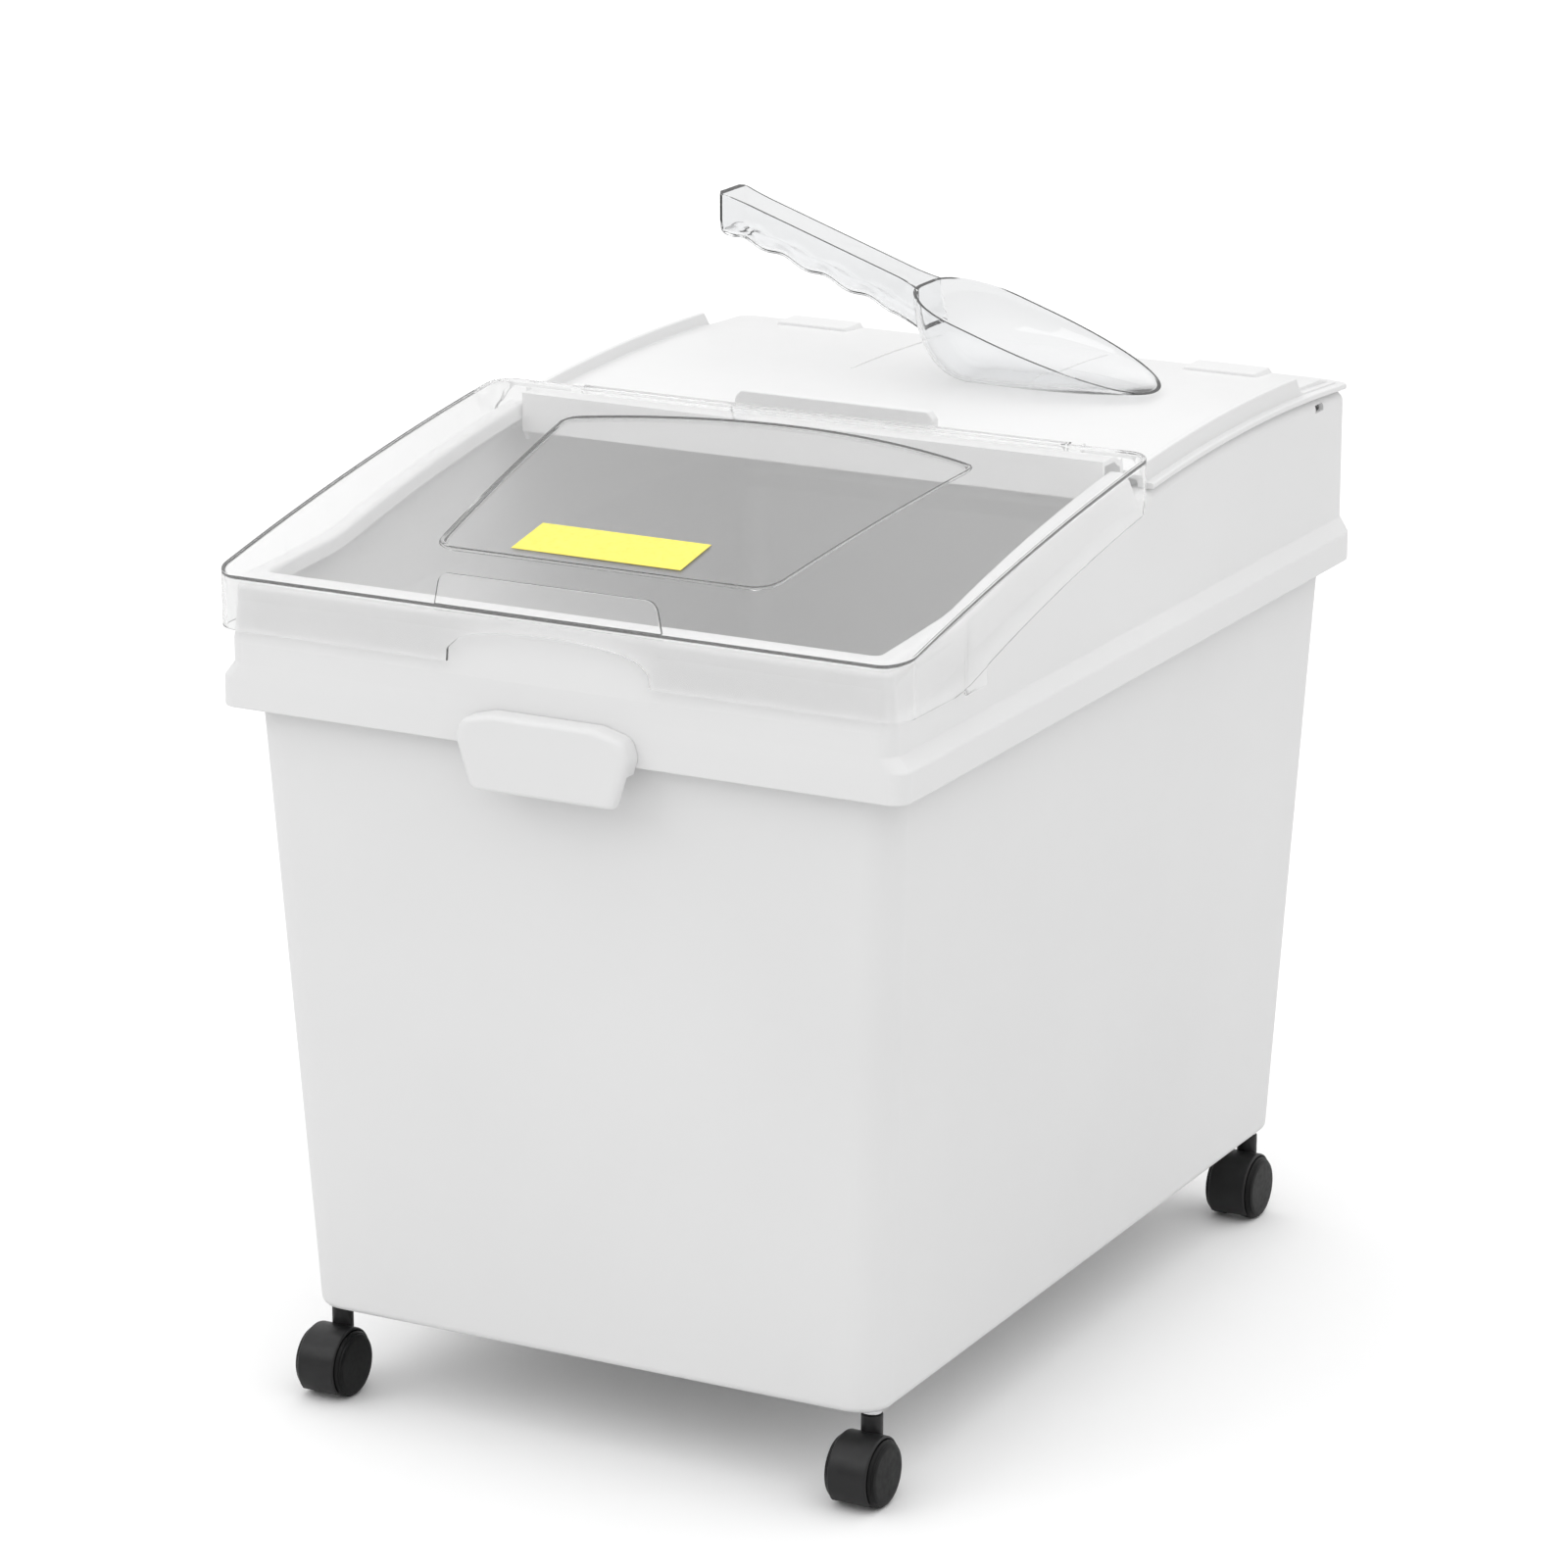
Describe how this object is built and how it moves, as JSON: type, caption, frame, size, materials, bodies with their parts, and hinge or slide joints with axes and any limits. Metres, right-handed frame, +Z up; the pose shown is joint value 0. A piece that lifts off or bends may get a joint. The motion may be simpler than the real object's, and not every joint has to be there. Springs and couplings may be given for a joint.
{
  "type": "pet food bin",
  "caption": "Rolling dry-food storage bin with a tapered tub, curved hood, clear flip lid over the front, fixed rear lid, swivel casters and a clear scoop.",
  "frame": {"origin": "on the floor, at the centre of the bounding box seen from above", "axes": "+Z up, front faces -Y, +X to the right of someone facing the front"},
  "size_m": [0.4236, 0.612, 0.623],
  "materials": {
    "white_plastic": "satin injection-moulded polypropylene",
    "clear_plastic": "clear moulded polycarbonate",
    "scoop_plastic": "clear moulded polycarbonate",
    "yellow_label": "printed sticker, plain",
    "black_nylon": "satin black nylon",
    "wheel_plastic": "black wheel plastic",
    "plated_steel": "bright nickel plate"
  },
  "bodies": {
    "bin": {"bin_body": "white_plastic", "front_grip": "white_plastic", "caster_front_left_socket": "plated_steel", "caster_front_left_stem": "plated_steel", "caster_front_right_socket": "plated_steel", "caster_front_right_stem": "plated_steel", "caster_rear_left_socket": "plated_steel", "caster_rear_left_stem": "plated_steel", "caster_rear_right_socket": "plated_steel", "caster_rear_right_stem": "plated_steel"},
    "rear_lid": {"rear_lid": "white_plastic"},
    "clear_lid": {"clear_lid": "clear_plastic", "label": "yellow_label"},
    "scoop": {"scoop": "scoop_plastic"},
    "caster_front_left": {"caster_front_left_housing": "black_nylon", "caster_front_left_axle": "plated_steel"},
    "caster_front_left_wheel_left": {"caster_front_left_wheel_left": "wheel_plastic"},
    "caster_front_left_wheel_right": {"caster_front_left_wheel_right": "wheel_plastic"},
    "caster_front_right": {"caster_front_right_housing": "black_nylon", "caster_front_right_axle": "plated_steel"},
    "caster_front_right_wheel_left": {"caster_front_right_wheel_left": "wheel_plastic"},
    "caster_front_right_wheel_right": {"caster_front_right_wheel_right": "wheel_plastic"},
    "caster_rear_left": {"caster_rear_left_housing": "black_nylon", "caster_rear_left_axle": "plated_steel"},
    "caster_rear_left_wheel_left": {"caster_rear_left_wheel_left": "wheel_plastic"},
    "caster_rear_left_wheel_right": {"caster_rear_left_wheel_right": "wheel_plastic"},
    "caster_rear_right": {"caster_rear_right_housing": "black_nylon", "caster_rear_right_axle": "plated_steel"},
    "caster_rear_right_wheel_left": {"caster_rear_right_wheel_left": "wheel_plastic"},
    "caster_rear_right_wheel_right": {"caster_rear_right_wheel_right": "wheel_plastic"}
  },
  "joints": [
    {"name": "rear_lid_lift", "type": "slide", "parent": "bin", "child": "rear_lid", "axis": [0, 0, 1], "range_m": [0, 0.15]},
    {"name": "clear_lid_hinge", "type": "hinge", "parent": "rear_lid", "child": "clear_lid", "pos_m": [0, 0.0185, 0.5285], "axis": [-1, 0, 0], "range_deg": [0, 110]},
    {"name": "scoop_lift", "type": "slide", "parent": "rear_lid", "child": "scoop", "axis": [0, 0, 1], "range_m": [0, 0.12]},
    {"name": "caster_front_left_swivel", "type": "hinge", "parent": "bin", "child": "caster_front_left", "pos_m": [-0.169, -0.246, 0.045], "axis": [0, 0, 1], "continuous": true},
    {"name": "caster_front_left_spin_left", "type": "hinge", "parent": "caster_front_left", "child": "caster_front_left_wheel_left", "pos_m": [-0.169, -0.2565, 0.019], "axis": [1, 0, 0], "continuous": true},
    {"name": "caster_front_left_spin_right", "type": "hinge", "parent": "caster_front_left", "child": "caster_front_left_wheel_right", "pos_m": [-0.169, -0.2565, 0.019], "axis": [1, 0, 0], "continuous": true},
    {"name": "caster_front_right_swivel", "type": "hinge", "parent": "bin", "child": "caster_front_right", "pos_m": [0.169, -0.246, 0.045], "axis": [0, 0, 1], "continuous": true},
    {"name": "caster_front_right_spin_left", "type": "hinge", "parent": "caster_front_right", "child": "caster_front_right_wheel_left", "pos_m": [0.169, -0.2565, 0.019], "axis": [1, 0, 0], "continuous": true},
    {"name": "caster_front_right_spin_right", "type": "hinge", "parent": "caster_front_right", "child": "caster_front_right_wheel_right", "pos_m": [0.169, -0.2565, 0.019], "axis": [1, 0, 0], "continuous": true},
    {"name": "caster_rear_left_swivel", "type": "hinge", "parent": "bin", "child": "caster_rear_left", "pos_m": [-0.169, 0.2585, 0.045], "axis": [0, 0, 1], "continuous": true},
    {"name": "caster_rear_left_spin_left", "type": "hinge", "parent": "caster_rear_left", "child": "caster_rear_left_wheel_left", "pos_m": [-0.169, 0.248, 0.019], "axis": [1, 0, 0], "continuous": true},
    {"name": "caster_rear_left_spin_right", "type": "hinge", "parent": "caster_rear_left", "child": "caster_rear_left_wheel_right", "pos_m": [-0.169, 0.248, 0.019], "axis": [1, 0, 0], "continuous": true},
    {"name": "caster_rear_right_swivel", "type": "hinge", "parent": "bin", "child": "caster_rear_right", "pos_m": [0.169, 0.2585, 0.045], "axis": [0, 0, 1], "continuous": true},
    {"name": "caster_rear_right_spin_left", "type": "hinge", "parent": "caster_rear_right", "child": "caster_rear_right_wheel_left", "pos_m": [0.169, 0.248, 0.019], "axis": [1, 0, 0], "continuous": true},
    {"name": "caster_rear_right_spin_right", "type": "hinge", "parent": "caster_rear_right", "child": "caster_rear_right_wheel_right", "pos_m": [0.169, 0.248, 0.019], "axis": [1, 0, 0], "continuous": true}
  ]
}
